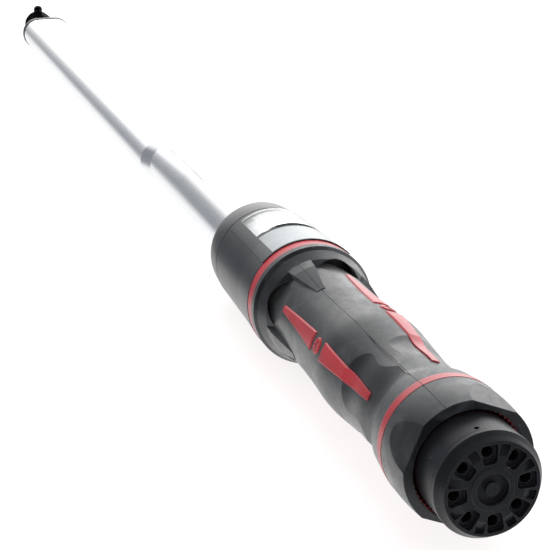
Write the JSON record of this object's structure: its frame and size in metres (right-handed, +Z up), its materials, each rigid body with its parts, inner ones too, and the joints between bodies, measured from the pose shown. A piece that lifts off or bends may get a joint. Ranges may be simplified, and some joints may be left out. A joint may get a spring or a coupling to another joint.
{
  "type": "click torque handle",
  "caption": "Long click-type torque handle with scale window, lockable adjuster knob, soft grip and a round 16 mm spigot for push-on heads.",
  "frame": {"origin": "centre of the spigot's shoulder, at the nose end of the handle", "axes": "+X along the axis, out of the spigot; +Z up through the scale window; +Y completes the frame"},
  "size_m": [0.6697, 0.044, 0.0444],
  "materials": {
    "grip_rubber": "soft matt black",
    "red_plastic": "satin red",
    "black_plastic": "fine matt grain, black",
    "plated_tube": "satin nickel and chrome plating",
    "black_steel": "black oxide",
    "bright_steel": "ground steel",
    "spring_steel": "oiled spring steel",
    "clear_lens": "clear, polished",
    "silver_plate": "satin silver",
    "scale_silver": "satin white",
    "bronze": "machined"
  },
  "bodies": {
    "handle": {"tube": "plated_tube", "handle_core": "red_plastic", "grip_sleeve": "grip_rubber", "lock_ring": "red_plastic", "scale_housing": "black_plastic", "housing_collar": "black_plastic", "window_lens": "clear_lens", "label_plate": "silver_plate", "nose_collar": "black_plastic", "pivot_pin": "bright_steel", "screw_bush": "bronze", "bush_pins": "bright_steel", "housing_pin": "bright_steel", "bush_washer": "bright_steel"},
    "screw": {"adjuster_screw": "bright_steel", "screw_washer": "bright_steel", "retaining_ring": "spring_steel", "detent_ring": "spring_steel"},
    "ball_ring": {"thrust_balls": "bright_steel"},
    "knob": {"knob": "black_plastic"},
    "nut": {"load_nut": "bright_steel", "index_pins": "bright_steel", "scale_sleeve": "scale_silver", "spring_seat": "bright_steel", "main_spring": "spring_steel"},
    "plunger": {"plunger": "bright_steel", "toggle_roller": "bright_steel"},
    "lever": {"lever": "black_steel", "catch_spring": "spring_steel"},
    "catch": {"catch_pin": "black_steel"}
  },
  "joints": [
    {"name": "screw_turn", "type": "hinge", "parent": "handle", "child": "screw", "pos_m": [-0.6, 0, 0], "axis": [1, 0, 0], "range_deg": [0, 2520]},
    {"name": "nut_slide", "type": "slide", "parent": "handle", "child": "nut", "axis": [1, 0, 0], "range_m": [0, 0.014], "deforming": ["main_spring"]},
    {"name": "ball_ring_turn", "type": "hinge", "parent": "handle", "child": "ball_ring", "pos_m": [-0.5913, 0, 0], "axis": [1, 0, 0], "range_deg": [0, 1260]},
    {"name": "knob_lock", "type": "slide", "parent": "screw", "child": "knob", "axis": [1, 0, 0], "range_m": [0, 0.0045], "deforming": ["detent_ring"]},
    {"name": "lever_swing", "type": "hinge", "parent": "handle", "child": "lever", "pos_m": [-0.02, 0, 0], "axis": [0, 0, 1], "range_deg": [0, 2.5], "stiffness_Nm_per_rad": 50, "springref_deg": -1.15},
    {"name": "plunger_slide", "type": "slide", "parent": "handle", "child": "plunger", "axis": [-1, 0, 0], "range_m": [0, 0.0018], "deforming": ["main_spring"]},
    {"name": "catch_press", "type": "slide", "parent": "lever", "child": "catch", "axis": [0, 0, -1], "range_m": [0, 0.0034], "stiffness_N_per_m": 300, "springref_m": -0.002, "deforming": ["catch_spring"]}
  ],
  "couplings": [
    {"joint": "screw_turn", "follows": "nut_slide", "rad_per_m": 3141.6},
    {"joint": "ball_ring_turn", "follows": "nut_slide", "rad_per_m": 1570.8},
    {"joint": "plunger_slide", "follows": "lever_swing", "m_per_rad": 0.03973}
  ]
}
